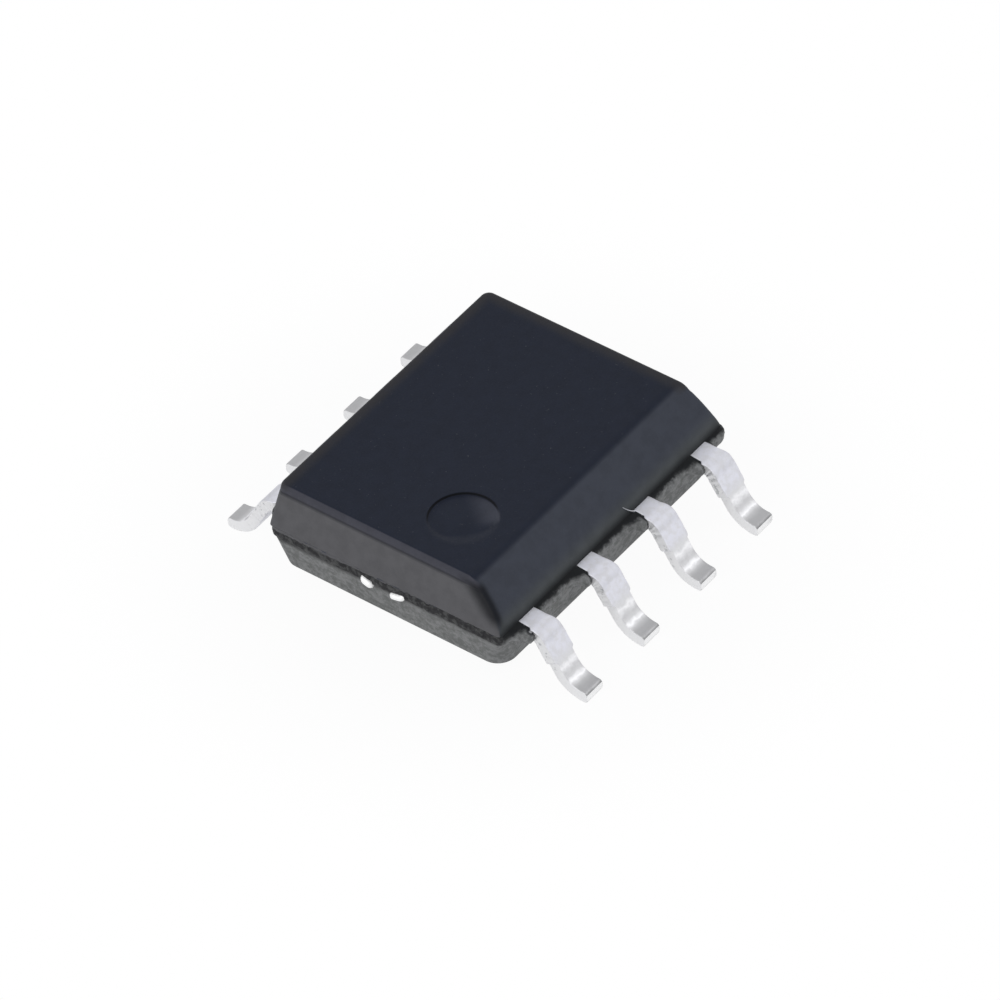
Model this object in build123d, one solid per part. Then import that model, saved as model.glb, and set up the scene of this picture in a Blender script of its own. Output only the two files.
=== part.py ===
from build123d import *

import os
from math import cos, hypot, radians, sin, tan

# Eight-lead small-outline operational amplifier, in millimetres: two gull-wing rows of four,
# a moulded body with one bevelled long edge, and the die, die pad and bond wires sealed in it.
# +X runs along the body, +Y across it and +Z up. The origin is under the middle of the body,
# on the seating plane that the feet stand on. Leads 1 to 4 leave the -Y side, from -X to +X,
# and leads 5 to 8 the +Y side, from +X to -X.

# Lead frame: one flat strip, blanked, bent and trimmed
PITCH = 1.27
LEAD_SPAN = 6.05
LEAD_WIDTH = 0.35
FRAME_THICKNESS = 0.18
FRAME_TOP = 0.933
LEAD_SLOPE = 60.0
SHOULDER_END = 2.165
SHOULDER_RADIUS = 0.19
HEEL_RADIUS = 0.35
TOE_ROUND = 0.05

# Stubs of the bar that tied the leads together until it was punched out
STUB_WIDTH = 0.43
STUB_START = 2.13
STUB_ALONG_SLOPE = 0.41

# Moulded body
BODY_LENGTH = 4.88
BODY_WIDTH = 3.895
BODY_TOP = 1.607
STANDOFF = 0.13
END_DRAFT = 12.6
SIDE_DRAFT = 8.2
LOWER_DRAFT = 11.5
UPPER_CORNER = 0.10
LOWER_CORNER = 0.30
TOP_EDGE_ROUND = 0.08
BEVEL_EDGE_ROUND = 0.16
LOWER_EDGE_ROUND = 0.07
BEVEL = 0.455
BEVEL_SET_IN = 1.4545

# Pin 1 dimple
DIMPLE_DIAMETER = 0.97
DIMPLE_DEPTH = 0.05
DIMPLE_AT = (-1.425, -0.59)

# Rim of resin that squeezed out at the frame's level, and the nubs left beside each lead
SIDE_FLASH = 0.09
END_FLASH = 0.03
FLASH_CORNER = 0.14
NUB_WIDTH = 0.13
NUB_REACH = 0.30
NUB_ROUND = 0.05
NUB_FILLET = 0.12

# Inner ends of the leads
FINGER_TIP = 1.10
FINGER_TIP_WIDTH = 0.52
FINGER_NECK = 1.50
CORNER_TIP = 0.72
CORNER_TIP_INSIDE = 1.30
CORNER_TIP_OUTSIDE = 1.86
CORNER_SHOULDER = 1.22
LOCK_NOTCH_AT = 1.66
LOCK_NOTCH_DEPTH = 0.07

# Die pad, set below the leads, on two pairs of tie bars
PAD_LENGTH = 2.30
PAD_WIDTH = 1.80
PAD_DOWNSET = 0.22
TIE_WIDTH = 0.24
TIE_CENTRES = (-0.19, 0.32)
TIE_END = 2.51
TIE_FOOT = 1.30

# Die and the paste under it
DIE_LENGTH = 1.52
DIE_WIDTH = 1.04
DIE_THICKNESS = 0.25
PASTE_THICKNESS = 0.02
PASTE_MARGIN = 0.05

# Bond wires: sealed out of sight, so six-sided and mitred where the real ones are round and bent
WIRE_DIAMETER = 0.033
WIRE_SIDES = 6
BOND_PAD_PITCH = 0.40
BOND_PAD_INSET = 0.10
BALL_DIAMETER = 0.075
BALL_HEIGHT = 0.022
BALL_SIDES = 12
WIRE_RISE = 0.17
WIRE_TOP_BEND = 0.055
WIRE_TAIL = 0.10
WIRE_TAIL_LIFT = 0.005
STITCH_WIDTH = 0.06
STITCH_LENGTH = 0.09
STITCH_TIP = 0.010

LEADS_PER_SIDE = 4
FRAME_BOTTOM = FRAME_TOP - FRAME_THICKNESS
FRAME_MIDDLE = FRAME_TOP - FRAME_THICKNESS / 2
INNER_LEAD_X = PITCH / 2
CORNER_LEAD_X = 3 * PITCH / 2
PAD_TOP = FRAME_TOP - PAD_DOWNSET
DIE_BASE = PAD_TOP + PASTE_THICKNESS
DIE_TOP = DIE_BASE + DIE_THICKNESS


def lead_places():
    """Pin number, X centre and side (-1 or 1) of each lead, counted round from the dimple."""
    near = [(i - 1.5) * PITCH for i in range(LEADS_PER_SIDE)]
    places = [(n + 1, x, -1) for n, x in enumerate(near)]
    places += [(n + 1 + LEADS_PER_SIDE, x, 1) for n, x in enumerate(reversed(near))]
    return places


def to_quadrant(part, x, side):
    """Turn or mirror a part drawn for +X and +Y to the quadrant that its lead stands in."""
    if x < 0 and side < 0:
        return Rot(0, 0, 180) * part
    if x < 0:
        return mirror(part, about=Plane.YZ)
    if side < 0:
        return mirror(part, about=Plane.XZ)
    return part


def tapered_block(z_wide, z_narrow, end_draft, side_draft, corner):
    """Block that narrows away from the lead frame, with rounded upright corners."""
    height = abs(z_narrow - z_wide)
    wide = RectangleRounded(BODY_LENGTH, BODY_WIDTH, corner)
    narrow = RectangleRounded(
        BODY_LENGTH - 2 * height * tan(radians(end_draft)),
        BODY_WIDTH - 2 * height * tan(radians(side_draft)),
        corner,
    )
    return loft([Pos(0, 0, z_wide) * wide, Pos(0, 0, z_narrow) * narrow], ruled=True)


def bevel_cutter():
    """Wedge that takes off the long top edge on the pin 1 side."""
    clear = 2 * BEVEL
    outline = Polyline(
        (-BEVEL_SET_IN + clear, BODY_TOP + clear),
        (-BEVEL_SET_IN - clear, BODY_TOP - clear),
        (-BEVEL_SET_IN - clear, BODY_TOP + clear),
        close=True,
    )
    return extrude(Plane.YZ * make_face(outline), BODY_LENGTH, both=True)


def upper_half():
    block = tapered_block(FRAME_TOP, BODY_TOP, END_DRAFT, SIDE_DRAFT, UPPER_CORNER) - bevel_cutter()
    bevel_face = block.faces().filter_by(lambda f: f.normal_at().Y < -0.5 and f.normal_at().Z > 0.5)[0]
    block = fillet(bevel_face.edges().filter_by(Axis.X), BEVEL_EDGE_ROUND)
    rim = block.faces().sort_by(Axis.Z)[-1].edges().sort_by(Axis.Y)
    block = fillet(rim[1:], TOP_EDGE_ROUND)
    dimple = Pos(*DIMPLE_AT, BODY_TOP) * Cylinder(DIMPLE_DIAMETER / 2, 2 * DIMPLE_DEPTH)
    return block - dimple


def lower_half():
    block = tapered_block(FRAME_BOTTOM, STANDOFF, LOWER_DRAFT, LOWER_DRAFT, LOWER_CORNER)
    return fillet(block.faces().sort_by(Axis.Z)[0].edges(), LOWER_EDGE_ROUND)


def flash_rim():
    """Resin at the level of the frame: a ledge all round, with a nub on each lead's -X side."""
    plan = RectangleRounded(BODY_LENGTH + 2 * END_FLASH, BODY_WIDTH + 2 * SIDE_FLASH, FLASH_CORNER)
    wall = BODY_WIDTH / 2
    for _, x, side in lead_places():
        nub_side = x - LEAD_WIDTH / 2 - NUB_WIDTH
        nub_width = NUB_WIDTH + 2 * NUB_ROUND
        nub = RectangleRounded(nub_width, 2 * NUB_REACH, NUB_ROUND)
        plan += Pos(nub_side + nub_width / 2, side * wall) * nub
        ledge_end = Vector(nub_side, side * (wall + SIDE_FLASH))
        plan = fillet(plan.vertices().sort_by_distance(ledge_end)[0], NUB_FILLET)
    return extrude(Pos(0, 0, FRAME_BOTTOM) * plan, FRAME_THICKNESS)


def gull_wing():
    """Formed part of a lead, running out along +Y: shoulder, slope, heel and foot, with the stubs."""
    foot_middle = FRAME_THICKNESS / 2
    turn = radians(LEAD_SLOPE)
    shoulder_corner = SHOULDER_END + SHOULDER_RADIUS * tan(turn / 2)
    heel_corner = shoulder_corner + (FRAME_MIDDLE - foot_middle) / tan(turn)
    inside = BODY_WIDTH / 2 - 0.2
    path = FilletPolyline(
        (inside, FRAME_MIDDLE),
        (shoulder_corner, FRAME_MIDDLE),
        (heel_corner, foot_middle),
        (LEAD_SPAN / 2, foot_middle),
        radius=[SHOULDER_RADIUS, HEEL_RADIUS],
    )
    stub_path = FilletPolyline(
        (STUB_START, FRAME_MIDDLE),
        (shoulder_corner, FRAME_MIDDLE),
        (shoulder_corner + STUB_ALONG_SLOPE * cos(turn), FRAME_MIDDLE - STUB_ALONG_SLOPE * sin(turn)),
        radius=SHOULDER_RADIUS,
    )
    wing = extrude(Plane.YZ * trace(path, FRAME_THICKNESS), LEAD_WIDTH / 2, both=True)
    toe = wing.edges().filter_by(Axis.X).group_by(Axis.Y)[-1]
    wing = fillet(toe, TOE_ROUND)
    return wing + extrude(Plane.YZ * trace(stub_path, FRAME_THICKNESS), STUB_WIDTH / 2, both=True)


def finger_outline(corner_lead):
    """Plan of a lead's flat inner end, in the +X and +Y quadrant, with a notch each side that locks
    it in the resin."""
    x = CORNER_LEAD_X if corner_lead else INNER_LEAD_X
    half = LEAD_WIDTH / 2
    wall = BODY_WIDTH / 2
    inside = [(x - half, wall)] + lock_notch(x - half, LOCK_NOTCH_DEPTH)
    outside = lock_notch(x + half, -LOCK_NOTCH_DEPTH)[::-1] + [(x + half, wall)]
    if corner_lead:
        reach = (x - half) - CORNER_TIP_INSIDE
        tip = [
            (x - half, CORNER_SHOULDER + reach),
            (CORNER_TIP_INSIDE, CORNER_SHOULDER),
            (CORNER_TIP_INSIDE, CORNER_TIP),
            (CORNER_TIP_OUTSIDE, CORNER_TIP),
            (x + half, CORNER_TIP + (x + half - CORNER_TIP_OUTSIDE)),
        ]
    else:
        tip_half = FINGER_TIP_WIDTH / 2
        flare = FINGER_NECK - (tip_half - half)
        tip = [
            (x - half, FINGER_NECK),
            (x - tip_half, flare),
            (x - tip_half, FINGER_TIP),
            (x + tip_half, FINGER_TIP),
            (x + tip_half, flare),
            (x + half, FINGER_NECK),
        ]
    return Polyline(*inside, *tip, *outside, close=True)


def lock_notch(edge_x, depth):
    """Three corners of a V notch in a finger's edge, from the wall inwards."""
    half = abs(depth)
    return [(edge_x, LOCK_NOTCH_AT + half), (edge_x + depth, LOCK_NOTCH_AT), (edge_x, LOCK_NOTCH_AT - half)]


def make_lead(x, side):
    """One lead: the flat finger inside the body, and the gull wing outside."""
    plan = make_face(finger_outline(corner_lead=abs(x) > PITCH))
    finger = extrude(Pos(0, 0, FRAME_BOTTOM) * plan, FRAME_THICKNESS)
    return to_quadrant(finger + Pos(abs(x), 0, 0) * gull_wing(), x, side)


def tie_bar(y):
    """Strip from the pad's +X edge up to the frame's level and out through the end face."""
    pad_middle = PAD_TOP - FRAME_THICKNESS / 2
    path = Polyline(
        (PAD_LENGTH / 2 - TIE_WIDTH, pad_middle),
        (TIE_FOOT, pad_middle),
        (TIE_FOOT + PAD_DOWNSET, FRAME_MIDDLE),
        (TIE_END, FRAME_MIDDLE),
    )
    strip = extrude(Plane.XZ * trace(path, FRAME_THICKNESS), TIE_WIDTH / 2, both=True)
    return Pos(0, y, 0) * strip


def make_die_pad():
    pad = Pos(0, 0, PAD_TOP - FRAME_THICKNESS / 2) * Box(PAD_LENGTH, PAD_WIDTH, FRAME_THICKNESS)
    for y in TIE_CENTRES:
        bar = tie_bar(y)
        pad += bar
        pad += mirror(bar, about=Plane.YZ)
    return pad


def make_die_attach():
    """Thin layer of silver paste with a sloping meniscus round the die's foot."""
    foot = Rectangle(DIE_LENGTH + 2 * PASTE_MARGIN, DIE_WIDTH + 2 * PASTE_MARGIN)
    top = Rectangle(DIE_LENGTH + PASTE_MARGIN, DIE_WIDTH + PASTE_MARGIN)
    return loft([Pos(0, 0, PAD_TOP) * foot, Pos(0, 0, DIE_BASE) * top], ruled=True)


def make_die():
    return Pos(0, 0, DIE_BASE + DIE_THICKNESS / 2) * Box(DIE_LENGTH, DIE_WIDTH, DIE_THICKNESS)


def bond_points(x, side):
    """Where a wire starts on the die and where it lands on its lead's inner end."""
    slot = x / PITCH
    start = Vector(slot * BOND_PAD_PITCH, side * (DIE_WIDTH / 2 - BOND_PAD_INSET), DIE_TOP)
    if abs(x) > PITCH:
        land_x = (CORNER_TIP_INSIDE + CORNER_TIP_OUTSIDE) / 2
        land_y = (CORNER_TIP + CORNER_SHOULDER) / 2
    else:
        land_x = INNER_LEAD_X
        land_y = FINGER_TIP + WIRE_TAIL + STITCH_LENGTH
    sign = 1 if x > 0 else -1
    return start, Vector(sign * land_x, side * land_y, FRAME_TOP)


def make_bond_wire(x, side):
    """Ball on the die, a loop over the die's edge, and a flattened stitch on the lead."""
    start, land = bond_points(x, side)
    across = Vector(land.X - start.X, land.Y - start.Y, 0)
    drop = land.Z - start.Z
    radius = WIRE_DIAMETER / 2
    wire_end = hypot(across.X, across.Y) - STITCH_LENGTH / 2
    tail_height = drop + radius + WIRE_TAIL_LIFT
    loop_plane = Plane(origin=start, x_dir=across, z_dir=across.cross(Vector(0, 0, 1)))
    path = loop_plane * Polyline(
        (0, 0),
        (0, WIRE_RISE - WIRE_TOP_BEND),
        (WIRE_TOP_BEND, WIRE_RISE),
        (wire_end - WIRE_TAIL, tail_height),
        (wire_end, tail_height),
    )
    section = Plane(origin=start) * RegularPolygon(radius, WIRE_SIDES)
    wire = sweep(section, path=path, transition=Transition.RIGHT)
    ball = extrude(Plane(origin=start) * RegularPolygon(BALL_DIAMETER / 2, BALL_SIDES), BALL_HEIGHT)
    wedge = make_face(
        Polyline(
            (wire_end, drop),
            (wire_end + STITCH_LENGTH, drop),
            (wire_end + STITCH_LENGTH, drop + STITCH_TIP),
            (wire_end, drop + WIRE_DIAMETER + 2 * WIRE_TAIL_LIFT),
            close=True,
        )
    )
    stitch = extrude(loop_plane * wedge, STITCH_WIDTH / 2, both=True)
    return wire + ball + stitch


def make_body(inserts):
    """The one moulding, with the room that every piece sealed in it takes up."""
    body = upper_half() + lower_half() + flash_rim()
    for insert in inserts:
        body -= insert
    return body


def build():
    parts = {f"lead_{pin}": make_lead(x, side) for pin, x, side in lead_places()}
    parts["die_pad"] = make_die_pad()
    parts["die_attach"] = make_die_attach()
    parts["silicon_die"] = make_die()
    parts.update({f"bond_wire_{pin}": make_bond_wire(x, side) for pin, x, side in lead_places()})
    parts["moulded_body"] = make_body(list(parts.values()))
    return parts


os.makedirs("parts", exist_ok=True)
for name, part in build().items():
    export_step(part, f"parts/{name}.step")
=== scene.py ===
from math import cos, pi, radians, sin, tan

import bpy
import numpy as np
from mathutils import Matrix, Vector
from mathutils.geometry import tessellate_polygon


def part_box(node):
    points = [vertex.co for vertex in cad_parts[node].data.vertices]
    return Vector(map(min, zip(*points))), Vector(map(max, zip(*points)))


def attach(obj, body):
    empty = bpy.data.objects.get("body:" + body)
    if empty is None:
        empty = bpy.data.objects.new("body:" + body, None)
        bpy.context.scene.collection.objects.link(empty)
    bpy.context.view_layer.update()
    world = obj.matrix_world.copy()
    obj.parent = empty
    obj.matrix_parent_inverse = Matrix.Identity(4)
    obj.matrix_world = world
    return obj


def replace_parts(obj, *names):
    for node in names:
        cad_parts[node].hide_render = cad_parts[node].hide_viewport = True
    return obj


# Looks of an eight-lead small-outline amplifier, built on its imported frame. Lengths are in
# millimetres, in the frame's own directions, and turn to metres where a mesh is made.
MM = 0.001
SEED = 8

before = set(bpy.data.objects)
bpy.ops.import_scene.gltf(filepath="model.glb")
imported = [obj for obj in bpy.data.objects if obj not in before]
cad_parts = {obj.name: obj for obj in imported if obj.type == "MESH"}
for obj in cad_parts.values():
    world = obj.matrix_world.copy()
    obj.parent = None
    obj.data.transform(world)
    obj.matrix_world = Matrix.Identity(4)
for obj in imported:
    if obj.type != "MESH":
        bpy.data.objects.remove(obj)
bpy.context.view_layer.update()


def node_box(name):
    """Lowest and highest corner of a CAD node, in millimetres."""
    return [np.array(corner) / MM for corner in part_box(name)]


body_low, body_high = node_box("moulded_body")
lead_low, lead_high = node_box("lead_6")
next_low, _ = node_box("lead_7")

# Lead frame
PITCH = lead_low[0] - next_low[0]
LEAD_REACH = lead_high[1]
FRAME_TOP = lead_high[2]
FRAME_THICKNESS = 0.18
FRAME_BOTTOM = FRAME_TOP - FRAME_THICKNESS
FRAME_MIDDLE = FRAME_TOP - FRAME_THICKNESS / 2
LEAD_HALF = 0.175
LEAD_SLOPE = radians(60)
SHOULDER_END = 2.165
SHOULDER_RADIUS = 0.19
HEEL_RADIUS = 0.45
TOE_ROUND = 0.05
LEAD_EDGE = 0.016
STUB_HALF = 0.215
STUB_START = 2.13
STUB_ALONG_SLOPE = 0.41

# Length over which a stub rises, on a lead's +X side and on the other
STUB_GENTLE = 0.16
STUB_ABRUPT = 0.03

# Wander of a lead's edges, as spacing and amount: the stubs' ends, the strip itself, and how far
# its sides are eaten back where they were torn and where they were sheared
STUB_WANDER = (0.05, 0.004)
LEAD_WANDER = (0.25, 0.003)
TORN_SIDE = (0.03, 0.009)
SHEARED_SIDE = (0.08, 0.003)

# Inner ends of the leads, as distances from the middle of the body
FINGER_TIP = lead_low[1]
FINGER_TIP_HALF = 0.26
FINGER_NECK = 1.50
CORNER_TIP = 0.72
CORNER_TIP_INSIDE = 1.30
CORNER_TIP_OUTSIDE = 1.86
CORNER_SHOULDER = 1.22
LOCK_NOTCH_AT = 1.66
LOCK_NOTCH_DEPTH = 0.07

# Moulded body
END_FLASH = 0.03
SIDE_FLASH = 0.09
NUB_WIDTH = 0.13
NUB_REACH = 0.30
NUB_SHORTFALL = 0.03
SHORT_NUB_PIN = 8
SHORT_NUB_BY = 0.16
WEB_REACH = 0.07
WEB_WIDTH = 0.12
HALF_LENGTH = body_high[0] - END_FLASH
HALF_WIDTH = body_high[1] - NUB_REACH
BODY_TOP = body_high[2]
STANDOFF = body_low[2]
END_DRAFT = radians(12.6)
SIDE_DRAFT = radians(8.2)
LOWER_DRAFT = radians(11.5)
UPPER_CORNER = 0.06
BEVEL_CORNER = 0.05
LOWER_CORNER = 0.28
LOWER_BACK_CORNER = 0.14
FLASH_CORNER = 0.12
TOP_CORNER = 0.115
TOP_EDGE_ROUND = 0.05
LOWER_EDGE_ROUND = 0.085
BEVEL_SET_IN = 1.4545
BEVEL_TOP_RADIUS = 0.30
BEVEL_FOOT_BLEND = 0.22
END_FLARE = 0.022
END_FLARE_HEIGHT = 0.30
CREASE_BELOW_TOP = 0.125
CREASE_DEPTH = 0.005
CREASE_HALF_WIDTH = 0.035

# Heights between which the front corners sharpen into the bevel's ends
BEVEL_FOOT_LOW, BEVEL_FOOT_HIGH = 1.08, 1.22

# Rim of resin: its section, as rise above the frame's underside and share of the reach there
FLASH_PROFILE = (
    (0.0, 0.0), (0.0, 0.55), (0.006, 0.82), (0.020, 0.95), (0.045, 1.0), (0.070, 1.0), (0.095, 1.0),
    (0.118, 0.99), (0.138, 0.965), (0.155, 0.91), (0.168, 0.82), (0.176, 0.68), (0.180, 0.5),
    (0.180, 0.0),
)
# Its wander, as spacings and amounts, and what is left of it at the ends and near the corners
LEDGE_WANDER = ((0.13, 0.022), (0.04, 0.004))
END_WANDER = ((0.09, 0.008), (0.035, 0.006))
END_WORN_BY = 0.012
LEDGE_AT_CORNER = 0.25

# Pin 1 dimple
DIMPLE_AT = (-1.455, -0.615)
DIMPLE_RADIUS = 0.51
DIMPLE_DEPTH = 0.036
DIMPLE_WALL = 0.018
DIMPLE_SLOPE = 0.22
DIMPLE_FAR_SIDE = radians(47.6)
DIMPLE_SIDES = 120
DIMPLE_FLOOR_RISE = 0.012
DIMPLE_FLOOR_ROWS = (0.97, 0.92, 0.84, 0.72, 0.56, 0.38, 0.2, 0.05)

# Die pad and its tie bars. A cut end has a half width, a half thickness and a slant.
PAD_HALF_LENGTH = 1.15
PAD_HALF_WIDTH = 0.90
PAD_DOWNSET = 0.22
TIE_HALF = 0.12
TIE_CENTRES = (-0.19, 0.32)
TIE_FOOT = 1.30
TIE_END = node_box("die_pad")[1][0]
TIE_EDGE = 0.05
TIE_DOME = 0.07
TIE_CUT = ((0.128, 0.054, -0.22), (0.098, 0.060, 0.34))
TIE_CUT_DROP = 0.085
TIE_CUT_SHIFT = 0.02
TIE_ROWS = 70

# Burr that the punch left at the root of one lead
BURR_PIN = 3
BURR_LENGTH = 0.22
BURR_RISE = 0.21
BURR_WIDTH = 0.019

# Chip out of the nub beside lead 1, only painted: painted shade for its hollow and a painted glint
# in it
CHIP_AT = (-2.125, -2.185, 0.915)

# Camera, solved from the corners and straight edges that the photograph shows
AZIMUTH = -49.64
ELEVATION = 43.72
ROLL = -4.52
CAMERA_DISTANCE = 131.0
CAMERA_TARGET = (-0.172, -0.180, 0.690)
LENS = 352.54
SENSOR = 36.0

# How far out the floor turns to plain white, and the white's share under the object
BACKDROP_NEAR = 2.5
BACKDROP_FAR = 6.5
BACKDROP_SHARE = 0.95

FLOOR_SIZE = 600
FLOOR_BELOW = 0.001

# Meshes: spacing of the points round the body, the strip kept flat inside its outline, points in a
# corner, the size under which a face is dropped, and the hold of flat faces on the shading
COLUMN_SPACING = 0.03
FLAT_MARGIN = 0.02
CORNER_POINTS = 10
SLIVER = 0.00001
FLAT_FACE_WEIGHT = 90


def ragged(positions, spacing, amount, rng):
    """Smooth random wander along a line, with a new random value at each spacing."""
    low, high = positions.min(), positions.max()
    knots = np.arange(low - spacing, high + 3 * spacing, spacing)
    values = rng.uniform(-amount, amount, len(knots))
    place = (positions - knots[0]) / spacing
    left = np.clip(place.astype(int), 0, len(knots) - 2)
    t = place - left
    blend = t * t * (3 - 2 * t)
    return values[left] * (1 - blend) + values[left + 1] * blend


def smooth_step(value, start, end):
    t = np.clip((value - start) / (end - start), 0, 1)
    return t * t * (3 - 2 * t)


def smooth_min(a, b, blend):
    """The smaller of two values, with the corner between them rounded over the blend."""
    h = max(blend - abs(a - b), 0) / blend
    return min(a, b) - h * h * blend / 4


def make_piece(name, points, faces, material, stands_for):
    """A smooth mesh from points in millimetres, shown in place of a CAD node."""
    mesh = bpy.data.meshes.new(name)
    mesh.from_pydata((np.asarray(points) * MM).tolist(), [], faces)
    mesh.polygons.foreach_set("use_smooth", [True] * len(mesh.polygons))
    mesh.materials.append(material)
    piece = bpy.data.objects.new(name, mesh)
    bpy.context.scene.collection.objects.link(piece)
    bpy.context.view_layer.objects.active = piece
    bpy.ops.object.select_all(action="DESELECT")
    piece.select_set(True)
    bpy.ops.object.mode_set(mode="EDIT")
    bpy.ops.mesh.select_all(action="SELECT")
    bpy.ops.mesh.dissolve_degenerate(threshold=SLIVER * MM)
    bpy.ops.mesh.normals_make_consistent(inside=False)
    bpy.ops.object.mode_set(mode="OBJECT")
    weighted = piece.modifiers.new("flat faces stay flat", "WEIGHTED_NORMAL")
    weighted.weight = FLAT_FACE_WEIGHT
    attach(piece, "root")
    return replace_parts(piece, stands_for)


def joined_rings(rings, first=0):
    """Quads between closed rings of equal length, whose points follow one another from first."""
    around = len(rings[0])
    faces = []
    for row in range(len(rings) - 1):
        a, b = first + row * around, first + (row + 1) * around
        for i in range(around):
            j = (i + 1) % around
            faces.append((a + i, a + j, b + j, b + i))
    return faces


def lead_places():
    """Pin number, X centre and side (-1 or 1) of each lead, as in the CAD source."""
    near = [(i - 1.5) * PITCH for i in range(4)]
    return [(n + 1, x, -1) for n, x in enumerate(near)] + [
        (n + 5, x, 1) for n, x in enumerate(reversed(near))
    ]


def side_columns():
    """Shares of a long side where columns of points stand, closer together at the leads' edges."""
    straight = HALF_LENGTH - FLASH_CORNER
    columns = [np.linspace(-straight, straight, round(2 * straight / COLUMN_SPACING))]
    for _, x, _ in lead_places()[:4]:
        columns.append(x - LEAD_HALF + np.linspace(-2 * NUB_WIDTH, 0.04, 26))
        columns.append(x + LEAD_HALF + np.linspace(-0.04, 0.06, 9))
    places = np.clip(np.round(np.concatenate(columns), 4), -straight, straight)
    return np.unique(places) / straight


def end_columns():
    """Shares of an end face where columns of points stand."""
    straight = HALF_WIDTH - FLASH_CORNER
    return np.linspace(-straight, straight, round(2 * straight / COLUMN_SPACING)) / straight


def ring(half_length, front, back, front_corner, back_corner):
    """Rounded rectangle seen from above, anticlockwise, as (x, y) and outward directions."""
    side, end = side_columns(), end_columns()
    quarter = np.linspace(0, pi / 2, CORNER_POINTS + 2)[1:-1]
    points, outward = [], []

    def add(x, y, nx, ny):
        x, y, nx, ny = np.broadcast_arrays(x, y, nx, ny)
        points.append(np.stack([x, y], 1))
        outward.append(np.stack([nx, ny], 1))

    def corner(x, y, radius, start):
        turn = start + quarter
        add(x + radius * np.cos(turn), y + radius * np.sin(turn), np.cos(turn), np.sin(turn))

    add(side * (half_length - front_corner), -front, 0, -1)
    corner(half_length - front_corner, -front + front_corner, front_corner, -pi / 2)
    low, high = -front + front_corner, back - back_corner
    add(half_length, (low + high) / 2 + end * (high - low) / 2, 1, 0)
    corner(half_length - back_corner, back - back_corner, back_corner, 0)
    add(-side * (half_length - back_corner), back, 0, 1)
    corner(-half_length + back_corner, back - back_corner, back_corner, pi / 2)
    add(-half_length, (low + high) / 2 - end * (high - low) / 2, -1, 0)
    corner(-half_length + front_corner, -front + front_corner, front_corner, pi)
    return np.concatenate(points), np.concatenate(outward)


def flash_reach(points, outward, rng):
    """How far the resin stands out past the wall at the frame's level, round the outline."""
    x, y = points[:, 0], points[:, 1]
    sideways = np.abs(outward[:, 1])
    run = np.concatenate([[0], np.cumsum(np.hypot(*np.diff(points, axis=0).T))])
    ledge = sum((ragged(run, *wave, rng) for wave in LEDGE_WANDER), SIDE_FLASH)
    rim = sum((ragged(run, *wave, rng) for wave in END_WANDER), END_FLASH) - END_WORN_BY
    from_end = HALF_LENGTH - np.abs(x) * np.where((x > 0) & (y < 0), 0, 1)
    ledge *= LEDGE_AT_CORNER + (1 - LEDGE_AT_CORNER) * smooth_step(from_end, 0.02, 0.35)
    reach = sideways * ledge + (1 - sideways) * rim
    for pin, lead_x, side in lead_places():
        on_side = (outward[:, 1] * side) > 0.9
        edge = lead_x - LEAD_HALF
        shorter = SHORT_NUB_BY if pin == SHORT_NUB_PIN else 0
        nub_reach = NUB_REACH - rng.uniform(0.0, NUB_SHORTFALL) - shorter
        width = NUB_WIDTH + rng.uniform(-0.02, 0.015)
        away = edge - x
        nub = (1 - smooth_step(away, width - 0.03, width + 0.03)) * nub_reach
        nub *= 1 - 0.10 * smooth_step(-away, -0.05, 0.0)
        web = WEB_REACH * (1 - smooth_step(away, width, width + WEB_WIDTH))
        near = on_side & (away > -0.02)
        reach = np.where(near, np.maximum(reach, np.maximum(nub, reach + web * (away > 0))), reach)
        in_lead = on_side & (np.abs(x - lead_x) < LEAD_HALF - 0.012)
        reach = np.where(in_lead, 0.0, reach)
    return reach


def upper_row(z):
    """Half length, front, back and corner radii of the upper half's outline at a height."""
    height = z - FRAME_TOP
    round_start = BODY_TOP - TOP_EDGE_ROUND
    over = max(z - round_start, 0) / TOP_EDGE_ROUND
    pull = TOP_EDGE_ROUND * (1 - (1 - min(over, 1) ** 2) ** 0.5)
    crease = CREASE_DEPTH * max(
        0, 1 - ((z - (BODY_TOP - CREASE_BELOW_TOP)) / CREASE_HALF_WIDTH) ** 2
    )
    flare = END_FLARE * (1 - smooth_step(height, 0, END_FLARE_HEIGHT))
    half_length = HALF_LENGTH - height * tan(END_DRAFT) - pull - crease + flare
    wall = HALF_WIDTH - height * tan(SIDE_DRAFT)
    bevel = BEVEL_SET_IN + (BODY_TOP - z)
    above_arc = z - BODY_TOP + BEVEL_TOP_RADIUS
    if above_arc > BEVEL_TOP_RADIUS * cos(pi / 4):
        arc = (BEVEL_TOP_RADIUS**2 - above_arc**2) ** 0.5
        bevel = BEVEL_SET_IN - BEVEL_TOP_RADIUS * tan(pi / 8) + arc
    front = smooth_min(wall, bevel, BEVEL_FOOT_BLEND)
    sharp = smooth_step(z, BEVEL_FOOT_LOW, BEVEL_FOOT_HIGH)
    front_corner = UPPER_CORNER * (1 - sharp) + BEVEL_CORNER * sharp
    to_top = smooth_step(z, FRAME_TOP + 0.2, BODY_TOP)
    back_corner = UPPER_CORNER * (1 - to_top) + TOP_CORNER * to_top
    return half_length, front, wall - pull, front_corner, back_corner


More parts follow.
